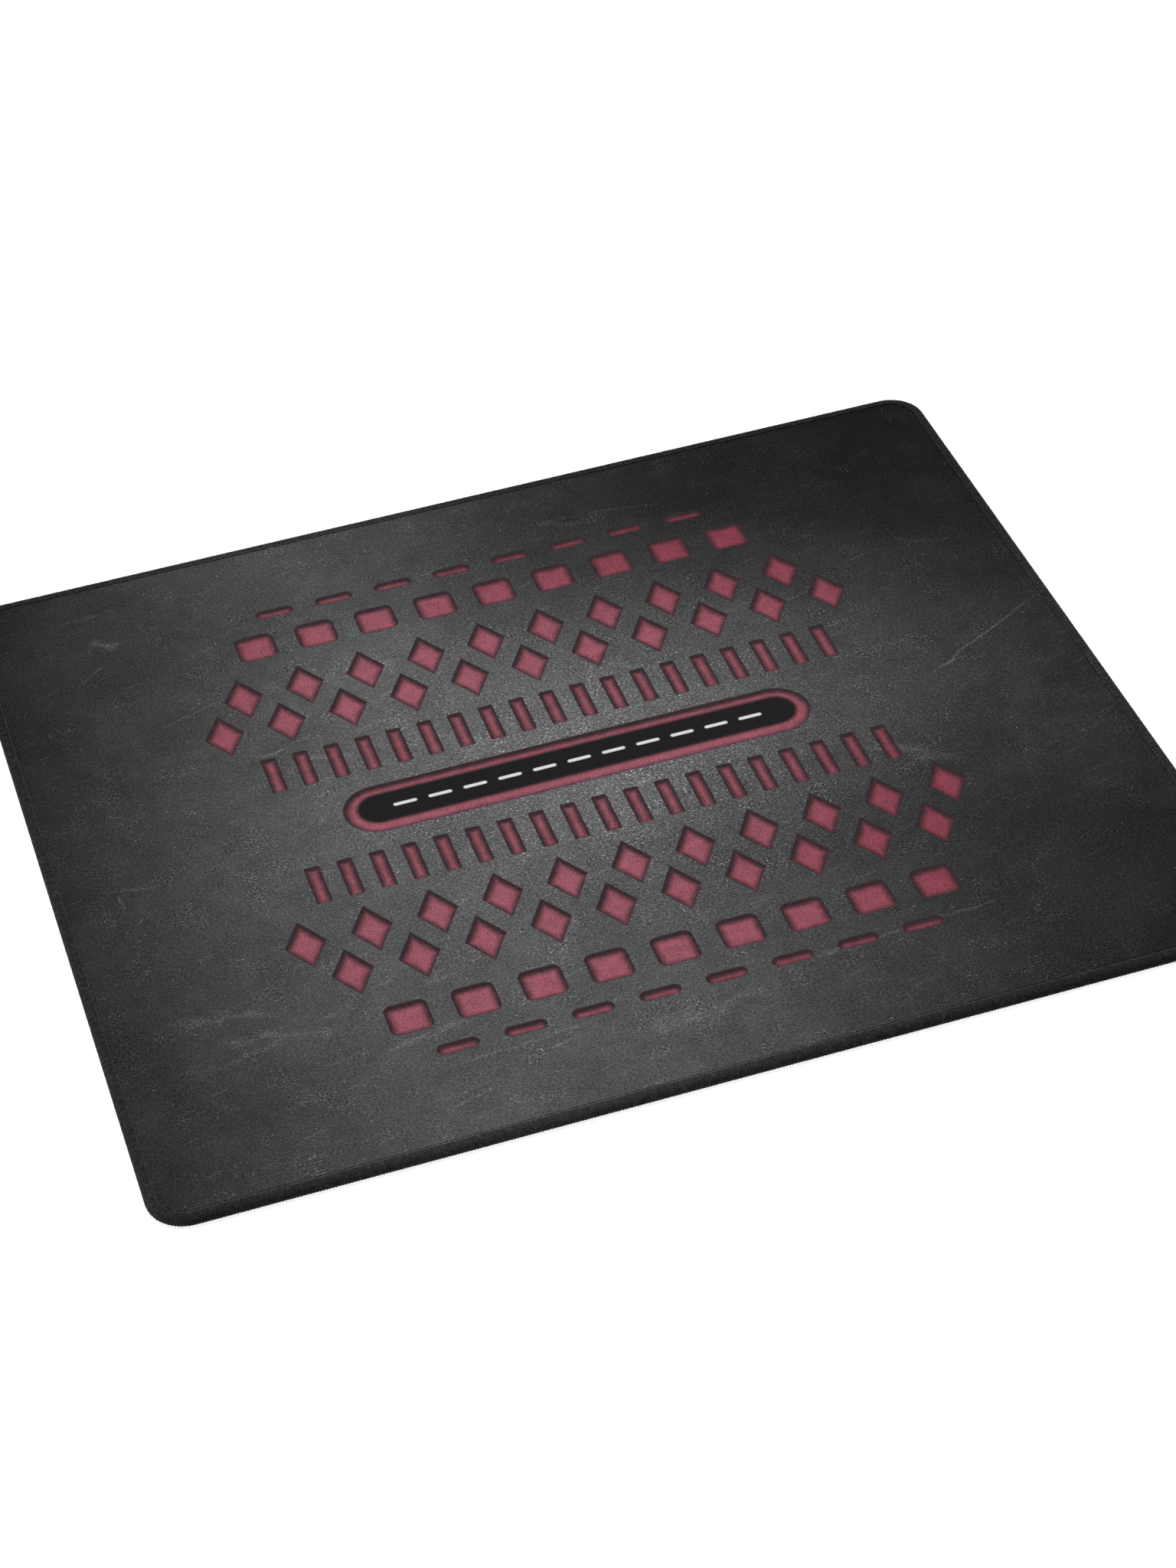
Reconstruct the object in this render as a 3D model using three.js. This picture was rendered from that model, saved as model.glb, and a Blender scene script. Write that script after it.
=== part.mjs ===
// A cloth-topped mouse pad: cloth, bonding film and foamed rubber, with an overlocked edge.
// Millimetres, +Z up. The origin is the middle of the underside and X runs along the long side.
import * as THREE from "three";

// Size over the stitching
const padLength = 450;
const padDepth = 400;
const cornerRadius = 16;

// The three bonded layers, from the desk up
const rubberThickness = 3.3;
const filmThickness = 0.1;
const clothThickness = 0.6;

// The overlocked hem
const hemWidth = 4.2; // from the outside in to the ends of the looper threads
const hemRise = 0.2; // how far the threads stand above the cloth
const hemLift = 0.1; // how far the threads stay above the desk
const looperThickness = 0.4;
const needleThreadWidth = 0.45;
const needleThreadHeight = 0.4;
const threadClearance = 0.05;
const topRampWidth = 0.7; // over which the cloth climbs out of the seam
const bottomRampWidth = 0.9; // over which the rubber swells out below the hem

// How finely the round parts are divided
const cornerDivisions = 8;
const sideDivisions = 16;
const needleThreadSides = 8;

// Finishes: colour, roughness, metalness
const finishes = {
  printedCloth: { color: 0x4b4b4b, roughness: 0.92, metalness: 0 },
  meltFilm: { color: 0xb9b4a4, roughness: 0.5, metalness: 0 },
  foamRubber: { color: 0x1b1b1b, roughness: 0.85, metalness: 0 },
  looperThread: { color: 0x262626, roughness: 0.8, metalness: 0 },
  needleThread: { color: 0x5a5a5a, roughness: 0.7, metalness: 0 },
};

// The half-round side runs from straight down, through straight out, to straight up
const straightUp = Math.PI / 2;
const straightDown = -straightUp;

// Heights of the layers away from the hem
const rubberTop = rubberThickness;
const filmTop = rubberTop + filmThickness;
const clothTop = filmTop + clothThickness;

// The hem's outer side is half round over the threads, about a line at mid height
const hemTop = clothTop + hemRise;
const hemRadius = (hemTop - hemLift) / 2;
const hemMiddle = hemLift + hemRadius;

// The stitches squeeze the layers into what is left inside the looper threads
const looperInside = hemRadius - looperThickness;
const squeezedRadius = looperInside - threadClearance;
const squeezedClothTop = hemMiddle + squeezedRadius;
const squeezedFilmTop = squeezedClothTop - clothThickness;
const squeezedRubberTop = squeezedFilmTop - filmThickness;
const squeezedRubberBottom = hemMiddle - squeezedRadius;

// The line of needle stitches lies beside the ends of the upper looper thread
const needleLineInset = hemWidth + threadClearance + needleThreadWidth / 2;
const needleLineHeight = squeezedClothTop + threadClearance + needleThreadHeight / 2;
const topRampInset = needleLineInset + needleThreadWidth / 2 + threadClearance;
const bottomRampInset = hemWidth + threadClearance;

// One point of a cross-section: how far in from the outside, and how high
function sectionPoint(inset, height) {
  return new THREE.Vector2(inset, height);
}

// The pad's outline drawn in from the outside by an inset, anticlockwise seen from above
function outline(inset) {
  const radius = cornerRadius - inset;
  const x = padLength / 2 - cornerRadius;
  const y = padDepth / 2 - cornerRadius;
  const quarter = Math.PI / 2;
  const path = new THREE.Path();
  path.absarc(x, y, radius, 0, quarter);
  path.absarc(-x, y, radius, quarter, 2 * quarter);
  path.absarc(-x, -y, radius, 2 * quarter, 3 * quarter);
  path.absarc(x, -y, radius, 3 * quarter, 4 * quarter);
  return path.getPoints(cornerDivisions);
}

// The angle, up from the hem's middle, at which the half-round side reaches a height
function angleAt(radius, height) {
  return Math.asin((height - hemMiddle) / radius);
}

// Part of the half-round side, at a given radius, from one angle to another
function roundSide(radius, from, to) {
  const points = [];
  const spans = Math.ceil((sideDivisions * Math.abs(to - from)) / (straightUp - straightDown));
  for (let i = 0; i <= spans; i++) {
    const angle = from + ((to - from) * i) / spans;
    points.push(
      sectionPoint(
        hemRadius - radius * Math.cos(angle),
        hemMiddle + radius * Math.sin(angle),
      ),
    );
  }
  return points;
}

// Carries a cross-section round the outline. The section runs outwards below and inwards above.
// A closed section makes a ring, and an open one is capped below and above.
function carryRound(section, isRing) {
  const rings = section.map((point) => outline(point.x));
  const count = rings[0].length;
  const positions = [];
  rings.forEach((ring, i) =>
    ring.forEach((point) => positions.push(point.x, point.y, section[i].y)),
  );
  const faces = [];
  const spans = isRing ? section.length : section.length - 1;
  for (let i = 0; i < spans; i++) {
    const low = i * count;
    const high = ((i + 1) % section.length) * count;
    for (let j = 0; j < count; j++) {
      const next = (j + 1) % count;
      faces.push(low + j, low + next, high + next);
      faces.push(low + j, high + next, high + j);
    }
  }
  if (!isRing) {
    const bottomCentre = section.length * count;
    const topCentre = bottomCentre + 1;
    const topRing = (section.length - 1) * count;
    positions.push(0, 0, section[0].y);
    positions.push(0, 0, section[section.length - 1].y);
    for (let j = 0; j < count; j++) {
      const next = (j + 1) % count;
      faces.push(bottomCentre, next, j);
      faces.push(topCentre, topRing + j, topRing + next);
    }
  }
  const geometry = new THREE.BufferGeometry();
  geometry.setAttribute("position", new THREE.Float32BufferAttribute(positions, 3));
  geometry.setIndex(faces);
  geometry.computeVertexNormals();
  return geometry;
}

function piece(name, geometry, finish) {
  const mesh = new THREE.Mesh(geometry, new THREE.MeshStandardMaterial(finish));
  mesh.name = name;
  return mesh;
}

// The printed cloth, pressed down under the stitches and trimmed round at its edge
function topCloth() {
  const section = [
    sectionPoint(topRampInset + topRampWidth, filmTop),
    sectionPoint(topRampInset, squeezedFilmTop),
    ...roundSide(squeezedRadius, angleAt(squeezedRadius, squeezedFilmTop), straightUp),
    sectionPoint(topRampInset, squeezedClothTop),
    sectionPoint(topRampInset + topRampWidth, clothTop),
  ];
  return piece("top_cloth", carryRound(section, false), finishes.printedCloth);
}

// The film that bonds the cloth to the rubber
function adhesiveFilm() {
  const section = [
    sectionPoint(topRampInset + topRampWidth, rubberTop),
    sectionPoint(topRampInset, squeezedRubberTop),
    ...roundSide(
      squeezedRadius,
      angleAt(squeezedRadius, squeezedRubberTop),
      angleAt(squeezedRadius, squeezedFilmTop),
    ),
    sectionPoint(topRampInset, squeezedFilmTop),
    sectionPoint(topRampInset + topRampWidth, filmTop),
  ];
  return piece("adhesive_film", carryRound(section, false), finishes.meltFilm);
}

// The foamed rubber sheet, flat on the desk and lifted clear of it under the hem
function rubberBase() {
  const section = [
    sectionPoint(bottomRampInset + bottomRampWidth, 0),
    sectionPoint(bottomRampInset, squeezedRubberBottom),
    ...roundSide(squeezedRadius, straightDown, angleAt(squeezedRadius, squeezedRubberTop)),
    sectionPoint(topRampInset, squeezedRubberTop),
    sectionPoint(topRampInset + topRampWidth, rubberTop),
  ];
  return piece("rubber_base", carryRound(section, false), finishes.foamRubber);
}

// The looper threads cover the edge side by side and meet at mid height
function upperLooperThread() {
  const meetingHeight = hemMiddle + threadClearance / 2;
  const section = [
    ...roundSide(hemRadius, angleAt(hemRadius, meetingHeight), straightUp),
    sectionPoint(hemWidth, hemTop),
    sectionPoint(hemWidth, hemMiddle + looperInside),
    ...roundSide(looperInside, straightUp, angleAt(looperInside, meetingHeight)),
  ];
  return piece("upper_looper_thread", carryRound(section, true), finishes.looperThread);
}

function lowerLooperThread() {
  const meetingHeight = hemMiddle - threadClearance / 2;
  const section = [
    ...roundSide(looperInside, angleAt(looperInside, meetingHeight), straightDown),
    sectionPoint(hemWidth, hemMiddle - looperInside),
    sectionPoint(hemWidth, hemLift),
    ...roundSide(hemRadius, straightDown, angleAt(hemRadius, meetingHeight)),
  ];
  return piece("lower_looper_thread", carryRound(section, true), finishes.looperThread);
}

// The needle thread shows as one raised line in the trough that it pulls into the cloth
function needleThread() {
  const section = [];
  for (let i = 0; i < needleThreadSides; i++) {
    const angle = (2 * Math.PI * i) / needleThreadSides;
    section.push(
      sectionPoint(
        needleLineInset - (needleThreadWidth / 2) * Math.cos(angle),
        needleLineHeight + (needleThreadHeight / 2) * Math.sin(angle),
      ),
    );
  }
  return piece("needle_thread", carryRound(section, true), finishes.needleThread);
}

const mousePad = new THREE.Group();
mousePad.add(
  rubberBase(),
  adhesiveFilm(),
  topCloth(),
  lowerLooperThread(),
  upperLooperThread(),
  needleThread(),
);

export default mousePad;
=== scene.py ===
"""A cloth-topped mouse pad with a printed pattern and an overlocked edge."""
import math
import random

import bmesh
import bpy
from mathutils import Euler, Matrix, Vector


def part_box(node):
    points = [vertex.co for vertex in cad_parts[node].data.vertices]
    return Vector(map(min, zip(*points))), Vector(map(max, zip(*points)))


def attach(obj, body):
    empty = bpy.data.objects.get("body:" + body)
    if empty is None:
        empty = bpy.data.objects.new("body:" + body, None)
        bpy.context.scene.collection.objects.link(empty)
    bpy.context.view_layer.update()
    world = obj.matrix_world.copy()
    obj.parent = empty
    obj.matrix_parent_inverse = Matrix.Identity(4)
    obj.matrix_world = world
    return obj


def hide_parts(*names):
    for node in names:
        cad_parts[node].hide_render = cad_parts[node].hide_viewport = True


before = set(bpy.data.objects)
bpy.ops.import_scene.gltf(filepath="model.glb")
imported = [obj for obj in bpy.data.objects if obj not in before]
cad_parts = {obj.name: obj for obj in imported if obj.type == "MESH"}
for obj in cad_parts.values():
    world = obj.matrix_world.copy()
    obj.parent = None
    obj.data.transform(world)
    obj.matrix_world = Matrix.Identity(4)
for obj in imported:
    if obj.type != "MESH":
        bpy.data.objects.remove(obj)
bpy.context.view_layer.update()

MM = 0.001
QUARTER = math.pi / 2

# The pad's outside, taken from the threads that wrap it
thread_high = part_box("upper_looper_thread")[1]
HALF_LENGTH = thread_high.x
HALF_DEPTH = thread_high.y
HEM_TOP = thread_high.z
HEM_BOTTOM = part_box("lower_looper_thread")[0].z
CORNER_RADIUS = 16 * MM
HEM_WIDTH = 4.2 * MM
THREAD_THICKNESS = 0.4 * MM

# The hem is half round on its outer side, about a line at mid height
HEM_RADIUS = (HEM_TOP - HEM_BOTTOM) / 2
HEM_MIDDLE = (HEM_TOP + HEM_BOTTOM) / 2
THREAD_RADIUS = HEM_RADIUS - THREAD_THICKNESS / 2
HEM_ROUND = QUARTER * THREAD_RADIUS
HEM_ACROSS = HEM_ROUND + HEM_WIDTH - HEM_RADIUS

# The layers, and how far the stitches squeeze them
cloth_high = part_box("top_cloth")[1]
needle_low, needle_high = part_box("needle_thread")
CLOTH_TOP = cloth_high.z
CLOTH_THICKNESS = 0.6 * MM
FILM_TOP = CLOTH_TOP - CLOTH_THICKNESS
SQUEEZED_RADIUS = cloth_high.x - HALF_LENGTH + HEM_RADIUS
SQUEEZED_TOP = HEM_MIDDLE + SQUEEZED_RADIUS
NEEDLE_WIDTH = 0.45 * MM
NEEDLE_INSET = HALF_LENGTH - needle_high.x + NEEDLE_WIDTH / 2
NEEDLE_HEIGHT = (needle_low.z + needle_high.z) / 2

# The stitches are counted along the line that the hem's round side is drawn about
STITCH = 1.2 * MM
CENTRE_X = HALF_LENGTH - CORNER_RADIUS
CENTRE_Y = HALF_DEPTH - CORNER_RADIUS
BEND_RADIUS = CORNER_RADIUS - HEM_RADIUS
TRACK = 4 * (CENTRE_X + CENTRE_Y + QUARTER * BEND_RADIUS)
STITCHES = round(TRACK / STITCH)
PITCH = TRACK / STITCHES


# The photograph's camera: where it stands, its lens and the frame that the lens is given for, all
# in millimetres, how it is turned in degrees, and how near and far it sees in metres
CAMERA_PLACE = (-296.7, -1146.0, 968.3)
CAMERA_LENS = 84.58
CAMERA_FRAME = 36
CAMERA_TILT = 50.43
CAMERA_TURN = -14.65
CAMERA_ROLL = -4.58
CAMERA_REACH = (0.01, 100)


def camera():
    """The camera stands before the pad's near side, to its left, and looks down at it."""
    eye = bpy.data.cameras.new("camera")
    eye.lens = CAMERA_LENS
    eye.sensor_width = CAMERA_FRAME
    eye.clip_start, eye.clip_end = CAMERA_REACH
    stand = bpy.data.objects.new("camera", eye)
    stand.location = Vector(CAMERA_PLACE) * MM
    tilt = Euler((math.radians(CAMERA_TILT), 0, math.radians(CAMERA_TURN)), "XYZ").to_matrix()
    roll = Euler((0, 0, math.radians(CAMERA_ROLL)), "XYZ").to_matrix()
    stand.rotation_euler = (tilt @ roll).to_euler()
    bpy.context.collection.objects.link(stand)
    bpy.context.scene.camera = stand


class Field:
    """A number that varies over a surface. Sums of fields become nodes of its material."""

    def __init__(self, surface, socket):
        self.surface = surface
        self.socket = socket

    def math(self, operation, *others):
        node = self.surface.node("ShaderNodeMath", operation=operation)
        for port, value in zip(node.inputs, (self, *others)):
            self.surface.feed(port, value)
        return Field(self.surface, node.outputs[0])

    def __add__(self, other):
        return self.math("ADD", other)

    def __sub__(self, other):
        return self.math("SUBTRACT", other)

    def __mul__(self, other):
        return self.math("MULTIPLY", other)

    def __truediv__(self, other):
        return self.math("DIVIDE", other)

    def __neg__(self):
        return self.math("MULTIPLY", -1.0)

    __radd__ = __add__
    __rmul__ = __mul__

    def size(self):
        return self.math("ABSOLUTE")

    def floor(self):
        return self.math("FLOOR")

    def power(self, exponent):
        return self.math("POWER", exponent)

    def wave(self, length):
        """A sine with that wavelength."""
        return (self * (2 * math.pi / length)).math("SINE")

    def hump(self, middle, width):
        """A soft hump, one high at its middle."""
        away = (self - middle) / width
        return (away * away * -1.0).math("EXPONENT")

    def rise(self, start, end, low=0.0, high=1.0):
        """Goes smoothly from low to high between two values."""
        node = self.surface.node("ShaderNodeMapRange", interpolation_type="SMOOTHSTEP")
        self.surface.feed(node.inputs["Value"], self)
        ends = {"From Min": start, "From Max": end, "To Min": low, "To Max": high}
        for name, value in ends.items():
            node.inputs[name].default_value = value
        return Field(self.surface, node.outputs["Result"])

    def larger(self, other):
        return self.math("MAXIMUM", other)

    def smaller(self, other):
        return self.math("MINIMUM", other)

    def repeated(self, pitch, last, shift=0.0):
        """Folds a coordinate into copies a pitch apart, as far as a last one each way."""
        nearest = ((self - shift) / pitch).math("ROUND").larger(-last).smaller(last)
        return self - shift - nearest * pitch


def length(a, b):
    """The length of a step that goes so far each way."""
    return (a * a + b * b).math("SQRT")


def turned(x, y, slope):
    """Coordinates along and across a direction that rises by a slope."""
    return x + y * slope, y - x * slope


# How a screen shows a colour's brightness, as a number from 0 to 255
SCREEN_WHITE = 255.0
SCREEN_FOOT = 0.055
SCREEN_POWER = 2.4

# What the cloth's faint gloss adds to its colour under the studio's light, and the darkest colour
GLOSS = 0.007
DARKEST = 0.001


class Surface:
    """A material in the making: its shader, its nodes and the patterns that they share."""

    def __init__(self, name, roughness, specular, sheen=0.0, sheen_roughness=0.5):
        self.material = bpy.data.materials.new(name)
        self.material.use_nodes = True
        self.tree = self.material.node_tree
        self.shader = self.tree.nodes["Principled BSDF"]
        self.shader.inputs["Roughness"].default_value = roughness
        self.shader.inputs["Specular IOR Level"].default_value = specular
        self.shader.inputs["Sheen Weight"].default_value = sheen
        self.shader.inputs["Sheen Roughness"].default_value = sheen_roughness
        spot = self.node("ShaderNodeTexCoord").outputs["Object"]
        scaled = self.node("ShaderNodeVectorMath", operation="SCALE")
        self.feed(scaled.inputs[0], spot)
        scaled.inputs["Scale"].default_value = 1 / MM
        self.place = scaled.outputs[0]
        self.x, self.y, self.z = self.parts(self.place)

    def node(self, kind, **settings):
        made = self.tree.nodes.new(kind)
        for name, value in settings.items():
            setattr(made, name, value)
        return made

    def feed(self, port, value):
        """Gives an input its value: a field, a socket, a number or a colour."""
        if isinstance(value, Field):
            value = value.socket
        if isinstance(value, bpy.types.NodeSocket):
            self.tree.links.new(value, port)
        else:
            port.default_value = value

    def parts(self, place):
        """The three fields of a place."""
        split = self.node("ShaderNodeSeparateXYZ")
        self.feed(split.inputs[0], place)
        return tuple(Field(self, port) for port in split.outputs)

    def point(self, x, y, z=0.0):
        """A place in millimetres made of three fields or numbers."""
        joined = self.node("ShaderNodeCombineXYZ")
        for port, value in zip(joined.inputs, (x, y, z)):
            self.feed(port, value)
        return joined.outputs[0]

    def thread_place(self):
        """How far along its thread a place is, and how far round it, each from 0 to 1."""
        laid = self.node("ShaderNodeUVMap", uv_map="UVMap")
        return self.parts(laid.outputs["UV"])[:2]

    def noise(self, grain, detail=2.0, roughness=0.5, place=None, warp=0.0):
        """Noise about a half, with lumps of about that many millimetres."""
        made = self.node("ShaderNodeTexNoise")
        self.feed(made.inputs["Vector"], place or self.place)
        made.inputs["Scale"].default_value = 1 / grain
        made.inputs["Detail"].default_value = detail
        made.inputs["Roughness"].default_value = roughness
        made.inputs["Distortion"].default_value = warp
        return Field(self, made.outputs["Fac"])

    def lumps(self, x, y, cell, layer=0.0, detail=1.0, roughness=0.6):
        """Noise about a half over two coordinates, with lumps of that many millimetres each way."""
        place = self.point(x / cell[0], y / cell[1], layer)
        return self.noise(1.0, detail, roughness, place=place)

    def chance(self, number):
        """A value from 0 to 1 of its own for each whole number."""
        made = self.node("ShaderNodeTexWhiteNoise", noise_dimensions="1D")
        self.feed(made.inputs["W"], number)
        return Field(self, made.outputs["Value"])

    def grey(self, brightness):
        """A grey from the brightness, 0 to 255, that it shows on a screen."""
        level = ((brightness / SCREEN_WHITE + SCREEN_FOOT) / (1 + SCREEN_FOOT)).larger(0.0)
        level = (level.power(SCREEN_POWER) - GLOSS).larger(DARKEST)
        joined = self.node("ShaderNodeCombineColor")
        for port in joined.inputs:
            self.feed(port, level)
        return joined.outputs[0]

    def mixed(self, share, under, over):
        """One colour laid over another in a share."""
        node = self.node("ShaderNodeMix", data_type="RGBA")
        ports = [port for port in node.inputs if port.type == "RGBA"]
        self.feed(node.inputs[0], share)
        self.feed(ports[0], under)
        self.feed(ports[1], over)
        return next(port for port in node.outputs if port.type == "RGBA")

    def brightened(self, colour, factor):
        """A colour multiplied by a field."""
        node = self.node("ShaderNodeVectorMath", operation="SCALE")
        self.feed(node.inputs[0], colour)
        self.feed(node.inputs["Scale"], factor)
        return node.outputs[0]

    def coloured(self, colour):
        self.feed(self.shader.inputs["Base Color"], colour)

    def bumped(self, height, depth, strength=1.0):
        """Raises the surface by a height field, where one stands for that many millimetres."""
        node = self.node("ShaderNodeBump")
        node.inputs["Strength"].default_value = strength
        node.inputs["Distance"].default_value = depth * MM
        self.feed(node.inputs["Height"], height)
        self.feed(self.shader.inputs["Normal"], node.outputs["Normal"])


def shown(*values):
    """A colour from the red, green and blue, 0 to 255, that it shows on a screen."""
    levels = ((value / SCREEN_WHITE + SCREEN_FOOT) / (1 + SCREEN_FOOT) for value in values)
    return tuple(level**SCREEN_POWER - GLOSS for level in levels) + (1.0,)


# The print's motifs, in millimetres, in rows above and below a slot in the middle
MOTIF_PITCH = 27.0
SLOT_HALF = 86.0
SLOT_RADIUS = 15.0
SLOT_INNER_RADIUS = 9.5
SLOT_SHADE = 3.0
DASH_LENGTH = 10.0
DASH_PITCH = 15.0
DASH_WIDTH = 1.8
DASHES_EACH_WAY = 5
BAR_ROW = 37.0
BAR_HALF_WIDTH = 3.3
BAR_HALF_HEIGHT = 11.5
BAR_CORNER = 1.0
BAR_PITCH = 13.5
BARS_EACH_WAY = 9
LOZENGE_ROW = 70.0
LOZENGE_STEP = 22.0
LOZENGE_HALF_WIDTH = 8.6
LOZENGE_HALF_HEIGHT = 14.2
LOZENGES_EACH_WAY = 5
SQUARE_ROW = 125.0
SQUARE_HALF = 8.7
SQUARE_CORNER = 3.5
SQUARES_EACH_WAY = 4
TIE_ROW = 147.0
TIE_HALF_WIDTH = 8.5
TIE_HALF_HEIGHT = 2.9
TIES_EACH_SIDE = 4

# How the motifs are shaded, as shapes cut out of the ground: the softness of their edges, how far
# their shade is shifted, the depths between which it fades, and the reds' own unevenness
CUT_SOFTNESS = 0.3
CUT_SHIFT = 1.3
CUT_SHADE_START = 0.2
CUT_SHADE_END = 4.2
CUT_DARK = shown(56, 44, 47)
CUT_RED = shown(154, 90, 102)
# A dimmer red where the ground's broad light is low, partly printed and partly painted shade, and the
# broad light over which it turns to the full red
CUT_SHADED_RED = shown(130, 60, 73)
RED_LIGHT = (0.36, 0.95)
RED_MOTTLE = 1.5
RED_BLUSH = 0.6
BLUSH_SIZE = 5.0
SLOT_BLACK = shown(33, 33, 33)
DASH_WHITE = shown(226, 226, 226)
DASH_SOFTNESS = 0.35


def box_distance(x, y, half_width, half_height, corner):
    """How far a place is outside a box with rounded corners."""
    dx = x.size() - (half_width - corner)
    dy = y.size() - (half_height - corner)
    return length(dx.larger(0.0), dy.larger(0.0)) + dx.larger(dy).smaller(0.0) - corner


def lozenge_distance(x, y):
    """How far a place is outside a lozenge, measured across its nearest side."""
    slant = math.hypot(LOZENGE_HALF_WIDTH, LOZENGE_HALF_HEIGHT)
    sum_of_sides = x.size() * LOZENGE_HALF_HEIGHT + y.size() * LOZENGE_HALF_WIDTH
    return (sum_of_sides - LOZENGE_HALF_WIDTH * LOZENGE_HALF_HEIGHT) / slant


def slot_distance(x, y, radius):
    """How far a place is outside the middle slot, which has round ends."""
    return length((x.size() - SLOT_HALF).larger(0.0), y) - radius


def between(x, each_side):
    """Folds a row of copies that stand between the middle ones, so many on each side."""
    nearest = (x.size() / MOTIF_PITCH - 0.5).math("ROUND").larger(0.0).smaller(each_side - 1.0)
    return x.size() - (nearest + 0.5) * MOTIF_PITCH


def motif_distance(x, y):
    """How far a place is outside the nearest red motif."""
    row = y.size()
    bars = box_distance(
        x.repeated(BAR_PITCH, BARS_EACH_WAY),
        row - BAR_ROW,
        BAR_HALF_WIDTH,
        BAR_HALF_HEIGHT,
        BAR_CORNER,
    )
    inner = lozenge_distance(x.repeated(MOTIF_PITCH, LOZENGES_EACH_WAY), row - LOZENGE_ROW)
    outer = lozenge_distance(between(x, LOZENGES_EACH_WAY), row - LOZENGE_ROW - LOZENGE_STEP)
    squares = box_distance(
        x.repeated(MOTIF_PITCH, SQUARES_EACH_WAY),
        row - SQUARE_ROW,
        SQUARE_HALF,
        SQUARE_HALF,
        SQUARE_CORNER,
    )
    ties = box_distance(
        between(x, TIES_EACH_SIDE),
        row - TIE_ROW,
        TIE_HALF_WIDTH,
        TIE_HALF_HEIGHT,
        TIE_HALF_HEIGHT,
    )
    slot = slot_distance(x, y, SLOT_RADIUS)
    return bars.smaller(inner).smaller(outer).smaller(squares).smaller(ties).smaller(slot)


# Light scratches of the print's slate ground: two ends, width and strength
SCRATCHES = (
    ((152, -4), (222, 36), 1.2, 38),
    ((-199, -13), (-197.5, -24), 0.6, 60),
    ((-207, -10), (-178, -14), 1.6, 20),
    ((-124, 50), (-112, 52.5), 0.8, 62),
    ((-100, -157), (-34, -152), 1.2, 26),
    ((90, -147), (130, -144), 1.4, 28),
    ((-160, 84), (-128, 96), 0.9, 30),
    ((36, 168), (88, 161), 0.9, 20),
    ((-186, 128), (-171, 139), 1.0, 26),
    ((176, 92), (204, 84), 0.9, 18),
    ((-36, 146), (-8, 153), 0.7, 22),
    ((118, 44), (142, 49), 0.8, 24),
    ((-62, -128), (-20, -120), 0.9, 26),
)

# Broader chalky strokes, rubbed thin
STROKES = (
    ((-198, -97), (-150, -104), 4.2, 20),
    ((-184, -112), (-128, -124), 4.6, 18),
    ((-190, -126), (-150, -121), 3.6, 16),
    ((-125, -140), (-84, -134), 3.0, 22),
    ((-176, 157), (-164, 147), 3.6, 34),
    ((-188, 173), (-166, 176), 2.0, 24),
    ((-78, 98), (-52, 92), 5.0, 30),
    ((-110, 44), (-84, 36), 2.6, 28),
    ((46, -150), (98, -146), 2.0, 28),
    ((28, 166), (62, 158), 4.0, 18),
    ((112, -34), (150, -62), 6.0, 22),
    ((-30, -168), (36, -160), 7.0, 20),
)


# A scratch wavers by this many of its widths over this length, and fades at both its ends
WAVER_WIDTHS = 3
WAVER_LENGTH = 9.0
FADE_IN_SHARE = 0.2
FADE_OUT_SHARE = 0.75


def scratch(surface, start, end, width):
    """A thin line between two places, a little uneven and fading out."""
    run = Vector(end) - Vector(start)
    way = run.normalized()
    x = surface.x - start[0]
    y = surface.y - start[1]
    along = x * way.x + y * way.y
    waver = surface.noise(WAVER_LENGTH, 1.0) - 0.5
    across = x * -way.y + y * way.x + waver * (WAVER_WIDTHS * width)
    fade_in = along.rise(0.0, run.length * FADE_IN_SHARE)
    fade_out = along.rise(run.length * FADE_OUT_SHARE, run.length, 1.0, 0.0)
    return across.hump(0.0, width / 2) * (fade_in * fade_out)


# The ground's broad light, partly printed into it and partly painted light, a lamp's sheen painted
# into
# its colour: a slight slant, a slanting glow, and soft patches, each with its middle and width along
# X, the same along Y, and its level
LIGHT_LEVEL = 5.0
LIGHT_SLANT_X = 0.06
LIGHT_SLANT_Y = -0.02
GLOW_SLOPE = 0.14
GLOW = ((53.0, 166.0), (12.0, 94.0), 38.0)
PATCHES = (
    ((-86.0, 208.0), (-164.0, 923.0), 79.0),
    ((-66.0, 38.0), (96.0, 38.0), 14.0),
    ((-80.0, 88.0), (192.0, 42.0), 10.0),
    ((55.0, 80.0), (150.0, 62.0), -8.0),
    ((-60.0, 46.0), (20.0, 54.0), -6.0),
    ((200.0, 50.0), (-60.0, 90.0), 12.0),
    ((60.0, 88.0), (-142.0, 42.0), 8.0),
)


def patch(x, y, wide, deep, level):
    """A soft patch of light, with its middle and width each way."""
    return x.hump(*wide) * y.hump(*deep) * level


def print_and_painted_light(surface):
    """The ground's brightness without its detail, partly print and partly painted light: lightest in
    a column left of the middle.
    """
    x, y = surface.x, surface.y
    light = x * LIGHT_SLANT_X + y * LIGHT_SLANT_Y + LIGHT_LEVEL
    light = light + patch(*turned(x, y, GLOW_SLOPE), *GLOW)
    for wide, deep, level in PATCHES:
        light = light + patch(x, y, wide, deep, level)
    return light


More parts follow.
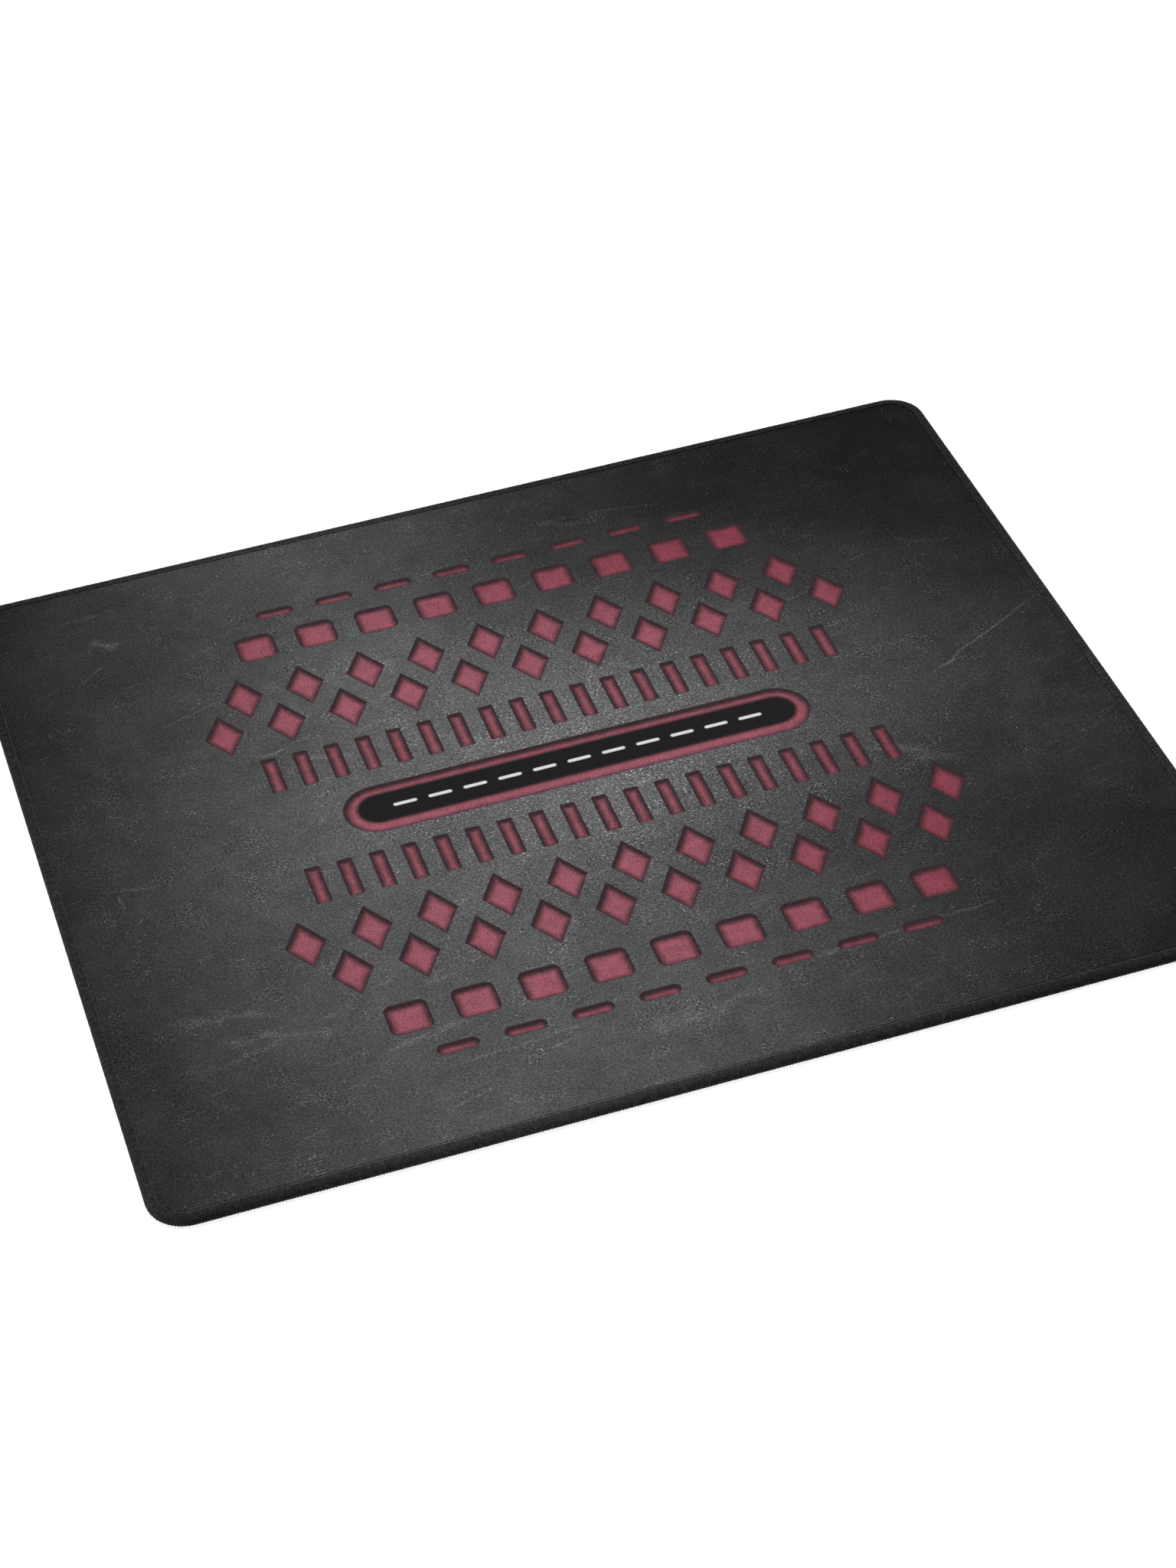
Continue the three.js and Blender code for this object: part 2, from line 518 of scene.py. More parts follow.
# The ground's marks, from broad to fine: how large their lumps are, the noise between which they
# fade in, and how strongly they show. Grit and dust show more where the light is full, in clouds,
# and about the pad's middle.
FULL_LIGHT = 100.0
MIDDLE_WIDE = (20.0, 100.0)
MIDDLE_DEEP = (-8.0, 90.0)
SMUDGE_SIZE = 44.0
SMUDGE_LEVEL = 28.0
CLOUD_SIZE = 15.0
CLOUD_FADE = (0.5, 0.66)
CLOUD_GRAIN_SHARE = 0.8
PLAIN_GRAIN_SHARE = 0.7
MOTTLE_SIZE = 7.0
MOTTLE_LEVEL = 34.0
CLUMP_SIZE = 2.6
CLUMP_LEVEL = 26.0
GRIT_CELL = (0.95, 0.8)
GRIT_LEVEL = 27.0
GRIT_LIT_LEVEL = 100.0
GRIT_MIDDLE_LEVEL = 56.0
WORN_FADE = (-0.12, 0.12)
WORN_LEAST = 0.25
BRUSHED_CELL = (3.4, 0.6)
BRUSHED_LEVEL = 36.0
DUST_CELL = (1.2, 0.8)
DUST_FADE = (0.54, 0.74)
DUST_LEVEL = 20.0
DUST_CLOUD_LEVEL = 56.0
DUST_MIDDLE_LEVEL = 62.0
LIT_CHALK_SHARE = 0.7
PLAIN_CHALK_SHARE = 0.25
RUBBED_CELL = (26.0, 3.0)
RUBBED_SLOPE = 0.25
RUBBED_FADE = (0.58, 0.74)
RUBBED_LEVEL = 34.0
HAIR_CELL = (6.0, 0.5)
HAIR_SLOPE = 0.1
HAIR_FADE = (0.66, 0.8)
CROSS_HAIR_CELL = (7.0, 0.5)
CROSS_HAIR_SLOPE = -0.35
CROSS_HAIR_FADE = (0.68, 0.8)
PLAIN_HAIR_SHARE = 0.2
HAIR_LEVEL = 42.0
SPECK_CELL = 8.0
SPECK_RADIUS = 0.35
SPECK_SOFTNESS = 0.15
SPECK_RAGGED_SIZE = 0.5
SPECK_RAGGEDNESS = 0.5
SPECK_FADE = (0.65, 1.0)
SPECK_LEVEL = 70.0


def slate_ground(surface):
    """The ground's brightness: broad soft light, smudges, chalk, strokes, scratches and grain."""
    x, y = surface.x, surface.y
    light = print_and_painted_light(surface)
    strong = light / FULL_LIGHT
    middle = x.hump(*MIDDLE_WIDE) * y.hump(*MIDDLE_DEEP)
    smudge = surface.noise(SMUDGE_SIZE, 5.0, 0.6, warp=0.5) - 0.5
    mottle = surface.noise(MOTTLE_SIZE, 3.0, 0.75) - 0.5
    clumps = surface.noise(CLUMP_SIZE, 1.0, 0.6) - 0.5
    light = light + smudge * SMUDGE_LEVEL + mottle * strong * MOTTLE_LEVEL
    light = light + clumps * middle * CLUMP_LEVEL

    grit = surface.lumps(x, y, GRIT_CELL) - 0.5
    brushed = surface.lumps(x, y, BRUSHED_CELL, layer=6.0, detail=2.0, roughness=0.65) - 0.5
    worn = grit.rise(*WORN_FADE, WORN_LEAST)
    cloud = surface.noise(CLOUD_SIZE, 5.0, 0.74).rise(*CLOUD_FADE)
    dust = surface.lumps(x, y, DUST_CELL, layer=4.0).rise(*DUST_FADE)
    grain = grit * (strong * GRIT_LIT_LEVEL + GRIT_LEVEL) + brushed * strong * BRUSHED_LEVEL
    grain = grain * (cloud * CLOUD_GRAIN_SHARE + PLAIN_GRAIN_SHARE)
    grain = grain + grit * middle * GRIT_MIDDLE_LEVEL
    flecks = cloud * dust * DUST_CLOUD_LEVEL + dust * (middle * DUST_MIDDLE_LEVEL + DUST_LEVEL)
    chalk = flecks + rubbed(surface) * worn * RUBBED_LEVEL
    chalky = (strong * LIT_CHALK_SHARE + PLAIN_CHALK_SHARE) * chalk
    fine = hairlines(surface) * (cloud + PLAIN_HAIR_SHARE) * strong * HAIR_LEVEL
    light = light + grain + chalky + fine
    for start, end, width, strength in SCRATCHES + STROKES:
        light = light + scratch(surface, start, end, width) * worn * float(strength)
    return light + specks(surface) * SPECK_LEVEL


def rubbed(surface):
    """Faint chalky streaks, thin and some centimetres long."""
    along, across = turned(surface.x, surface.y, RUBBED_SLOPE)
    streaks = surface.lumps(along, across, RUBBED_CELL, layer=3.0, detail=3.0, roughness=0.65)
    return streaks.rise(*RUBBED_FADE)


def hairlines(surface):
    """Fine short scratches, in two slightly different directions."""
    along, across = turned(surface.x, surface.y, HAIR_SLOPE)
    lines = surface.lumps(along, across, HAIR_CELL, layer=2.0, detail=2.0)
    along, across = turned(surface.x, surface.y, CROSS_HAIR_SLOPE)
    others = surface.lumps(along, across, CROSS_HAIR_CELL, layer=8.0, detail=2.0)
    return lines.rise(*HAIR_FADE) + others.rise(*CROSS_HAIR_FADE)


def specks(surface):
    """Small pale specks, in about one cell of four."""
    cells = surface.node("ShaderNodeTexVoronoi", voronoi_dimensions="2D")
    surface.feed(cells.inputs["Vector"], surface.place)
    cells.inputs["Scale"].default_value = 1 / SPECK_CELL
    chances = surface.node("ShaderNodeSeparateColor")
    surface.feed(chances.inputs[0], cells.outputs["Color"])
    first, second = (Field(surface, chances.outputs[i]) for i in (0, 1))
    ragged = surface.noise(SPECK_RAGGED_SIZE, 1.0) - 0.5
    reach = Field(surface, cells.outputs["Distance"]) * SPECK_CELL + ragged * SPECK_RAGGEDNESS
    dot = (reach - first * SPECK_RADIUS).rise(-SPECK_SOFTNESS, SPECK_SOFTNESS, 1.0, 0.0)
    return dot * second.rise(*SPECK_FADE)


# The cloth between the needle line and the flat, with painted shade of its groove along the near side
# and painted light elsewhere against that groove's shade: the insets where this ends, how much
# painted shade darkens it along the near side, how much painted light pales it elsewhere, and where
# along Y the one gives way to the other
SEAM_END = (4.95, 5.4)
SEAM_PAINTED_SHADE = 0.72
SEAM_PAINTED_LIGHT = 0.6
NEAR_HEM = (-195.5, -188.0)

# The cloth's knit: the pitches of its ribs and courses, and how they waver, shade and stand out
RIB_PITCH = 0.42
COURSE_PITCH = 0.46
KNIT_WAVER = 0.35
KNIT_WAVER_LENGTH = 1.6
KNIT_SHADE = 0.06
KNIT_RELIEF_SHARE = 0.5
CLOTH_RELIEF = 0.03


def pad_inset(surface):
    """How far in from the pad's outline a place is, in millimetres."""
    outside = (HALF_LENGTH / MM, HALF_DEPTH / MM, CORNER_RADIUS / MM)
    return -box_distance(surface.x, surface.y, *outside)


def printed_cloth_finish():
    """Fine knitted polyester, dyed with rows of shaded red motifs on a slate ground."""
    surface = Surface("printed_cloth", roughness=0.95, specular=0.08, sheen=0.05)
    x, y = surface.x, surface.y
    colour = surface.grey(slate_ground(surface))

    mottle = surface.lumps(x, y, GRIT_CELL, layer=9.0) - 0.5
    blush = surface.noise(BLUSH_SIZE, 2.0, 0.6) - 0.5
    inside = motif_distance(x, y).rise(-CUT_SOFTNESS, CUT_SOFTNESS, 1.0, 0.0)
    depth = -motif_distance(x, y + CUT_SHIFT)
    lit = (depth + blush * RED_BLUSH).rise(CUT_SHADE_START, CUT_SHADE_END)
    # The reds dim with the ground's broad light: partly printed, partly painted shade
    red = surface.mixed((print_and_painted_light(surface) / FULL_LIGHT).rise(*RED_LIGHT), CUT_SHADED_RED, CUT_RED)
    red = surface.mixed(lit, CUT_DARK, red)
    red = surface.brightened(red, mottle * RED_MOTTLE + blush * RED_BLUSH + 1.0)
    colour = surface.mixed(inside, colour, red)

    hollow = slot_distance(x, y, SLOT_INNER_RADIUS).rise(-SLOT_SHADE / 2, SLOT_SHADE / 2, 1.0, 0.0)
    colour = surface.mixed(hollow, colour, SLOT_BLACK)
    dash = box_distance(
        x.repeated(DASH_PITCH, DASHES_EACH_WAY), y, DASH_LENGTH / 2, DASH_WIDTH / 2, DASH_WIDTH / 2
    )
    colour = surface.mixed(dash.rise(-DASH_SOFTNESS, DASH_SOFTNESS, 1.0, 0.0), colour, DASH_WHITE)

    waver = (surface.noise(KNIT_WAVER_LENGTH, 1.0) - 0.5) * KNIT_WAVER
    knit = (x + waver).wave(RIB_PITCH) * (y + waver).wave(COURSE_PITCH)
    # Painted shade by the seam along the near side, painted light by it elsewhere
    seam = pad_inset(surface).rise(*SEAM_END, 1.0, 0.0)
    shade = y.rise(*NEAR_HEM, SEAM_PAINTED_SHADE, -SEAM_PAINTED_LIGHT) * seam
    surface.coloured(surface.brightened(colour, (knit * KNIT_SHADE + 1.0) * (-shade + 1.0)))
    surface.bumped(knit * KNIT_RELIEF_SHARE + mottle, CLOTH_RELIEF, 0.6)
    return surface.material


# How the threads' fibres lie: streaks along each strand and round it, also of the loose fuzz,
# turns of twist in a strand, and how far the fibres stand out
FIBRE_STREAKS = 5.0
FIBRES_ROUND = 4.5
FUZZ_STREAKS = 9.0
FUZZ_ROUND_SHARE = 0.3
FIBRE_TWIST = 1.2
FIBRE_RELIEF = 0.12

# What varies a thread's level, in shares of its spread: the shade of each strand, batches and
# tufts of the thread, its fibres and its fuzz, with the sizes of their lumps in millimetres
STRAND_SHADE = 0.25
BATCH_SIZE = 5.0
BATCH_SHADE = 1.5
TUFT_SIZE = 1.0
TUFT_SHADE = 3.4
FIBRE_SHADE = 3.0
FUZZ_FADE = (0.52, 0.7)
FUZZ_SIZE = 2.2
FUZZ_SIZE_FADE = (0.38, 0.6)
FUZZ_SHADE = 3.6

# Painted light on the threads: the cloth's broad light at which a thread has its own level, where the
# hems at the pad's left and right sides lie, which get extra painted light, and how that painted
# light falls off towards the far side
THREAD_LIGHT = 56.0
SIDE_HEMS = (208.0, 220.0)
FAR_FADE = (40.0, 130.0)
FAR_SHARE = 0.4


def yarn(name, level, near_painted_light, light_share, side_painted_light, spread, strands, first_share, roughness):
    """Soft spun thread: strands of slightly different shades, fibres in a slow twist, and loose fuzz.

    Its level has painted light in it: it follows a share of the cloth's broad light, with painted
    light of its own along the near side, which is shade where it is negative, and more painted light
    along the left and right sides. The first strand starts a share of a strand along."""
    surface = Surface(name, roughness=roughness, specular=0.1, sheen=0.1, sheen_roughness=0.5)
    along, turn = surface.thread_place()
    strand = along * float(strands) - first_share
    shade = surface.chance(strand.floor()) - 0.5
    batches = surface.noise(BATCH_SIZE, 4.0, 0.65) - 0.5
    tufts = surface.noise(TUFT_SIZE, 1.0, 0.6) - 0.5
    twisted = turn + strand * FIBRE_TWIST
    over = (twisted + 0.25).wave(1.0) * FIBRES_ROUND
    aside = twisted.wave(1.0) * FIBRES_ROUND
    laid = surface.point(strand * FIBRE_STREAKS, over, aside)
    fibres = surface.noise(1.0, 2.0, 0.65, place=laid)
    loose = surface.point(strand * FUZZ_STREAKS, over * FUZZ_ROUND_SHARE, aside * FUZZ_ROUND_SHARE)
    fuzz = surface.noise(1.0, 1.0, 0.6, place=loose).rise(*FUZZ_FADE)
    fuzz = fuzz * surface.noise(FUZZ_SIZE, 2.0, 0.6).rise(*FUZZ_SIZE_FADE)
    uneven = shade * STRAND_SHADE + batches * BATCH_SHADE + tufts * TUFT_SHADE
    uneven = uneven + (fibres - 0.5) * FIBRE_SHADE + fuzz * FUZZ_SHADE
    # Painted light: the thread's level follows a share of the cloth's broad light
    light = uneven * spread + float(level) + (print_and_painted_light(surface) - THREAD_LIGHT) * light_share
    # Painted light along the left and right hems, less towards the far side, and painted light along
    # the near hem, shade where it is negative
    beside = surface.x.size().rise(*SIDE_HEMS) * surface.y.rise(*FAR_FADE, 1.0, FAR_SHARE)
    light = light + beside * side_painted_light + surface.y.rise(*NEAR_HEM, near_painted_light, 0.0)
    surface.coloured(surface.grey(light))
    surface.bumped(fibres, FIBRE_RELIEF, 0.9)
    return surface.material


# The rubber's level, and the sizes, levels and depth of its pores and its clouds of grey
RUBBER_LEVEL = 30.0
PORE_SIZE = 0.35
PORE_FADE = (0.3, 0.7)
PORE_LEVEL = 8.0
PORE_RELIEF = 0.06
RUBBER_CLOUD_SIZE = 30.0
RUBBER_CLOUD_LEVEL = 8.0

# The film's two shades, and the size and depth of its clouds
FILM_DARK = shown(58, 56, 51)
FILM_PALE = shown(74, 71, 64)
FILM_CLOUD_SIZE = 6.0
FILM_RELIEF = 0.02


def foam_rubber_finish():
    """Open-celled black rubber: matt, with fine pores and a dusting of grey."""
    surface = Surface("foam_rubber", roughness=0.85, specular=0.25)
    pores = surface.noise(PORE_SIZE, 3.0, 0.7)
    cloud = surface.noise(RUBBER_CLOUD_SIZE, 3.0, 0.6) - 0.5
    light = pores.rise(*PORE_FADE) * PORE_LEVEL + cloud * RUBBER_CLOUD_LEVEL + RUBBER_LEVEL
    surface.coloured(surface.grey(light))
    surface.bumped(pores, PORE_RELIEF, 0.8)
    return surface.material


def melt_film_finish():
    """The thin bonding film, yellowish and slightly cloudy, over black rubber."""
    surface = Surface("melt_film", roughness=0.45, specular=0.4)
    cloud = surface.noise(FILM_CLOUD_SIZE, 3.0, 0.6)
    surface.coloured(surface.mixed(cloud, FILM_DARK, FILM_PALE))
    surface.bumped(cloud, FILM_RELIEF, 0.4)
    return surface.material


# The centres that the corners are rounded about, from the near left one round to it again
CORNER_SIDES = ((-1, -1), (1, -1), (1, 1), (-1, 1), (-1, -1))
CORNERS = [Vector((x * CENTRE_X, y * CENTRE_Y)) for x, y in CORNER_SIDES]


def around(along):
    """The point of the stitch line a way along it, and the direction out of the pad there."""
    along %= TRACK
    for side, (start, end) in enumerate(zip(CORNERS, CORNERS[1:])):
        straight = (end - start).length
        facing = (side - 1) * QUARTER
        centre = start.lerp(end, min(along / straight, 1))
        facing += min(max(along - straight, 0) / BEND_RADIUS, QUARTER)
        along -= straight + QUARTER * BEND_RADIUS
        if along < 0:
            break
    out = Vector((math.cos(facing), math.sin(facing)))
    return centre + out * BEND_RADIUS, out


def at(along, inset, height):
    """A place a way along the hem, in from the pad's outside by an inset, at a height."""
    point, out = around(along)
    spot = point + out * (HEM_RADIUS - inset)
    return Vector((spot.x, spot.y, height))


def wrapped(along, across, lift):
    """Bends a place on the hem laid flat round the pad's edge.

    Across runs up and inwards from mid height."""
    reach = THREAD_RADIUS + lift
    turn = across / THREAD_RADIUS
    if abs(turn) <= QUARTER:
        return at(along, HEM_RADIUS - reach * math.cos(turn), HEM_MIDDLE + reach * math.sin(turn))
    inset = HEM_RADIUS + abs(across) - HEM_ROUND
    return at(along, inset, HEM_MIDDLE + math.copysign(reach, across))


def piece(name, mesh, material, slot, *nodes):
    """Puts a finished mesh in the scene, on the pad's body, in place of its CAD nodes."""
    made = bpy.data.objects.new(name, mesh)
    bpy.context.collection.objects.link(made)
    mesh.materials.clear()
    mesh.materials.append(material)
    mesh.polygons.foreach_set("use_smooth", [True] * len(mesh.polygons))
    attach(made, "root")
    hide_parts(*nodes)
    return made


def thread_mesh(name, path, radius, flatness, placed):
    """Runs a round thread along a path laid out flat, then flattens it and bends it into place."""
    curve = bpy.data.curves.new(name, "CURVE")
    curve.dimensions = "3D"
    curve.twist_mode = "Z_UP"
    curve.bevel_depth = radius
    curve.bevel_resolution = 1
    curve.use_fill_caps = True
    spline = curve.splines.new("POLY")
    spline.points.add(len(path) - 1)
    for point, (along, across, lift, girth) in zip(spline.points, path):
        point.co = (along, across, lift / flatness, 1)
        point.radius = girth
    laid = bpy.data.objects.new(name, curve)
    mesh = bpy.data.meshes.new_from_object(laid)
    bpy.data.objects.remove(laid)
    bpy.data.curves.remove(curve)
    mould = bmesh.new()
    mould.from_mesh(mesh)
    ends = [vertex for vertex in mould.verts if vertex.is_boundary]
    bmesh.ops.remove_doubles(mould, verts=ends, dist=0.001 * MM)
    for vertex in mould.verts:
        along, across, lift = vertex.co
        vertex.co = placed(along, across, lift * flatness)
    mould.to_mesh(mesh)
    mould.free()
    return mesh


# One loop of a looper thread: shares of a stitch along the hem, of the way across it, of the
# thread's thickness above it, and of its girth, which is more at the sharp turns. It turns where
# the two loopers meet, runs in along a slightly raised strand, turns, and runs out along a lower one.
LOOP_SHARES = (
    (-0.10, -0.03, 0.15, 1.0),
    (0.10, -0.03, 0.15, 1.0),
    (0.22, 0.15, 0.03, 1.0),
    (0.24, 0.31, 0.02, 1.0),
    (0.25, 0.46, 0.02, 1.0),
    (0.26, 0.62, 0.02, 1.0),
    (0.28, 0.965, -0.15, 1.35),
    (0.72, 0.965, -0.15, 1.35),
    (0.74, 0.62, -0.02, 1.0),
    (0.75, 0.46, -0.02, 1.0),
    (0.76, 0.31, -0.02, 1.0),
    (0.78, 0.15, 0.0, 1.0),
)
LOOP_TURN_INDEX = 6
LOOP_RADIUS = 0.37 * MM
LOOP_FLATNESS = 0.52

# The loopers meet a little below the middle of the edge. The lower one is tucked in there by a
# share of the thread's thickness, which fades quickly along its strands.
MEETING_SHARE = -0.2
TUCK_SHARE = 0.3
TUCK_FADE = 4

# How unevenly the loops lie, in the same shares as their points. A lean is how much further along
# the hem a loop has come once it is across.
SWAY_SHARES = (-0.08, 0.08)
STRETCH_SHARES = (0.975, 1.015)
GIRTH_SHARES = (0.88, 1.1)
RISE_SHARES = (-0.1, 0.08)
LEAN_SHARES = (0.25, 0.45)
SLIP_SHARES = (-0.04, 0.04)


def looper_thread(name, node, upwards, seed):
    """One looper thread, over the edge to the needle line and back at every stitch."""
    chance = random.Random(seed)
    shift = 0.0 if upwards else 0.5
    tuck = 0.0 if upwards else TUCK_SHARE
    start = MEETING_SHARE * HEM_ACROSS
    end = HEM_ACROSS if upwards else -HEM_ACROSS
    path = []
    for stitch in range(STITCHES):
        sway = chance.uniform(*SWAY_SHARES)
        stretch = chance.uniform(*STRETCH_SHARES)
        for index, (along_share, across_share, lift_share, girth_share) in enumerate(LOOP_SHARES):
            if index in (0, LOOP_TURN_INDEX):
                girth = chance.uniform(*GIRTH_SHARES)
                rise = chance.uniform(*RISE_SHARES)
                lean = chance.uniform(*LEAN_SHARES)
                slip = chance.uniform(*SLIP_SHARES)
            along = stitch + shift + along_share + sway + lean * across_share
            across_share += slip * math.sin(math.pi * max(across_share, 0))
            across = start + across_share * stretch * (end - start)
            lift = (lift_share + rise - tuck * (1 - across_share) ** TUCK_FADE) * THREAD_THICKNESS
            path.append((along * PITCH, across, lift, girth * girth_share))
    path.append((path[0][0] + TRACK, *path[0][1:]))
    mesh = thread_mesh(name, path, LOOP_RADIUS, LOOP_FLATNESS, wrapped)
    piece(name, mesh, looper_yarn, "looper_thread", node)


# One needle stitch: shares of a stitch along the hem, and heights in shares of its dip at a hole
NEEDLE_SHARES = ((0.0, -1.0), (0.12, 0.0), (0.5, 0.3), (0.88, 0.0))
NEEDLE_DIP = 0.26 * MM
NEEDLE_RADIUS = 0.19 * MM
NEEDLE_LIFT = 0.08 * MM
NEEDLE_SWAY = 0.03 * MM
NEEDLE_GIRTH_SHARES = (0.9, 1.06)


def needle_thread():
    """The row of small stitches along the inner side of the hem, pulled down at each needle hole."""
    chance = random.Random(5)
    path = []
    for stitch in range(STITCHES):
        sway = chance.uniform(-NEEDLE_SWAY, NEEDLE_SWAY)
        girth = chance.uniform(*NEEDLE_GIRTH_SHARES)
        for along_share, dip_share in NEEDLE_SHARES:
            path.append(((stitch + along_share) * PITCH, sway, dip_share * NEEDLE_DIP, girth))
    path.append((path[0][0] + TRACK, *path[0][1:]))

    def placed(along, across, lift):
        return at(along, NEEDLE_INSET + across, NEEDLE_HEIGHT + NEEDLE_LIFT + lift)

    mesh = thread_mesh("needle_stitches", path, NEEDLE_RADIUS, 1.0, placed)
    piece("needle_stitches", mesh, needle_yarn, "needle_thread", "needle_thread")


def carry_round(mould, count, section):
    """Draws a closed strip round the pad through each inset, height and pucker of a section.

    Returns its first and last edges."""
    ring = bmesh.ops.create_circle(mould, segments=count, radius=1.0)["verts"]
    order = {vertex: index for index, vertex in enumerate(ring)}
    first = [edge for edge in mould.edges if edge.verts[0] in order]
    edges = first
    step = TRACK / count
    for number, (inset, height, pucker) in enumerate(section):
        if number:
            grown = bmesh.ops.extrude_edge_only(mould, edges=edges)["geom"]
            order = drawn_order(grown, order)
            edges = [item for item in grown if joins(item, order)]
        for vertex, index in order.items():
            bulge = pucker * (1 if index % 2 else -1)
            vertex.co = at((index + 0.5) * step, inset, height + bulge)
    return first, edges


def drawn_order(grown, order):
    """Numbers freshly extruded vertices as the ones that they were drawn from."""
    numbers = {}
    for item in grown:
        if isinstance(item, bmesh.types.BMVert):
            near = (edge.other_vert(item) for edge in item.link_edges)
            numbers[item] = order[next(vertex for vertex in near if vertex in order)]
    return numbers


def joins(item, order):
    """Whether an item is an edge between two of the numbered vertices."""
    return isinstance(item, bmesh.types.BMEdge) and item.verts[0] in order and item.verts[1] in order


def finished(name, mould):
    """Turns a finished mould into a mesh with its faces pointing out."""
    bmesh.ops.recalc_face_normals(mould, faces=mould.faces)
    mesh = bpy.data.meshes.new(name)
    mould.to_mesh(mesh)
    mould.free()
    return mesh


# The layers climb out of the seam here, in from the needle line
RAMP_START = 0.3 * MM
RAMP_END = 1.0 * MM

# The cloth on both sides of the needle line: pressed flat up to an edge before it, then, in from
# it, a groove, a wall, a small puckered lip and the flat, up to an inset from the pad's outside
PRESSED_EDGE = 0.15 * MM
GROOVE_START = 0.2 * MM
GROOVE_END = 0.5 * MM
GROOVE_DEPTH = 0.16 * MM
WALL_TOP = 0.72 * MM
WALL_DROP = 0.06 * MM
LIP_START = 0.95 * MM
LIP_END = 1.3 * MM
LIP_RISE = 0.08 * MM
LIP_END_SHARE = 0.8
FLAT_START = 2.0 * MM
PUCKER = 0.03 * MM
STRIP_END_INSET = 8 * MM

# The grid of the flat, and its slight waves
GRID_CELL = 6 * MM
WAVE_HEIGHT = 0.1 * MM
WAVE_ASLANT_SHARE = 0.5
WAVE_X = 31 * MM
WAVE_Y = 37 * MM
WAVE_ASLANT = 23 * MM


def cloth_section():
    """Insets, heights and puckers from under the seam, out round the edge, and back over the top."""
    slant = math.sqrt(0.5) * SQUEEZED_RADIUS
    needle = NEEDLE_INSET
    return (
        (needle + RAMP_END, FILM_TOP, 0),
        (needle + RAMP_START, SQUEEZED_TOP - CLOTH_THICKNESS, 0),
        (HEM_RADIUS, SQUEEZED_TOP - CLOTH_THICKNESS, 0),
        (HEM_RADIUS - slant, HEM_MIDDLE + slant, 0),
        (HEM_RADIUS, SQUEEZED_TOP, 0),
        (needle - PRESSED_EDGE, SQUEEZED_TOP, 0),
        (needle + GROOVE_START, SQUEEZED_TOP - GROOVE_DEPTH, 0),
        (needle + GROOVE_END, SQUEEZED_TOP - GROOVE_DEPTH, PUCKER * 2 / 3),
        (needle + WALL_TOP, CLOTH_TOP - WALL_DROP, PUCKER),
        (needle + LIP_START, CLOTH_TOP + LIP_RISE, PUCKER),
        (needle + LIP_END, CLOTH_TOP + LIP_RISE * LIP_END_SHARE, PUCKER / 2),
        (needle + FLAT_START, CLOTH_TOP, 0),
        (STRIP_END_INSET, CLOTH_TOP, 0),
    )


def waves(x, y):
    """The flat's slight waves, which cross each other, with fainter ones aslant."""
    crossing = math.sin(x / WAVE_X + 1.3) * math.sin(y / WAVE_Y + 0.4)
    return crossing + WAVE_ASLANT_SHARE * math.sin((x + y) / WAVE_ASLANT)


def top_cloth():
    """The printed cloth: one sheet, squeezed under the seam, that rises over a lip to the flat."""
    mould = bmesh.new()
    under, inner = carry_round(mould, 2 * STITCHES, cloth_section())
    across = 2 * round(CENTRE_X / GRID_CELL)
    deep = 2 * round(CENTRE_Y / GRID_CELL)
    grid = bmesh.ops.create_grid(mould, x_segments=across, y_segments=deep, size=1.0)["verts"]
    for vertex in grid:
        x, y = vertex.co.x * CENTRE_X, vertex.co.y * CENTRE_Y
        fade = (1 - vertex.co.x**2) * (1 - vertex.co.y**2)
        vertex.co = (x, y, CLOTH_TOP + fade * waves(x, y) * WAVE_HEIGHT)
    flat = set(grid)
    rim = [edge for edge in mould.edges if edge.is_boundary and edge.verts[0] in flat]
    bmesh.ops.triangle_fill(mould, edges=inner + rim, use_beauty=True)
    bmesh.ops.triangle_fill(mould, edges=under, use_beauty=True)
    mesh = finished("printed_cloth", mould)
    made = piece("printed_cloth", mesh, cloth_finish, "printed_cloth", "top_cloth")


# The anti-slip relief: small square studs, a pitch apart, standing in a shallow tray
STUD_PITCH = 4.4 * MM
STUD_GAP = 0.6 * MM
STUD_HEIGHT = 0.25 * MM
TRAY_MARGIN = 6.2 * MM

# The rubber's ramp down to the desk, in from the threads, and how far out the top of its squeezed
# edge reaches, as a share of the middle's reach
THREAD_CLEARANCE = 0.05 * MM
BOTTOM_RAMP = 0.9 * MM
EDGE_TOP_SHARE = 0.8


def rubber_section():
    """Insets and heights from the tray under the pad, out round the edge, and back under the film."""
    low = HEM_MIDDLE - SQUEEZED_RADIUS
    rubber_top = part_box("rubber_base")[1].z
    high = SQUEEZED_TOP - (CLOTH_TOP - rubber_top)
    return (
        (TRAY_MARGIN + STUD_HEIGHT, STUD_HEIGHT, 0),
        (TRAY_MARGIN, 0, 0),
        (HEM_WIDTH + THREAD_CLEARANCE + BOTTOM_RAMP, 0, 0),
        (HEM_WIDTH + THREAD_CLEARANCE, low, 0),
        (HEM_RADIUS, low, 0),
        (HEM_RADIUS - SQUEEZED_RADIUS, HEM_MIDDLE, 0),
        (HEM_RADIUS - SQUEEZED_RADIUS * EDGE_TOP_SHARE, high, 0),
        (NEEDLE_INSET + RAMP_START, high, 0),
        (NEEDLE_INSET + RAMP_END, rubber_top, 0),
    )


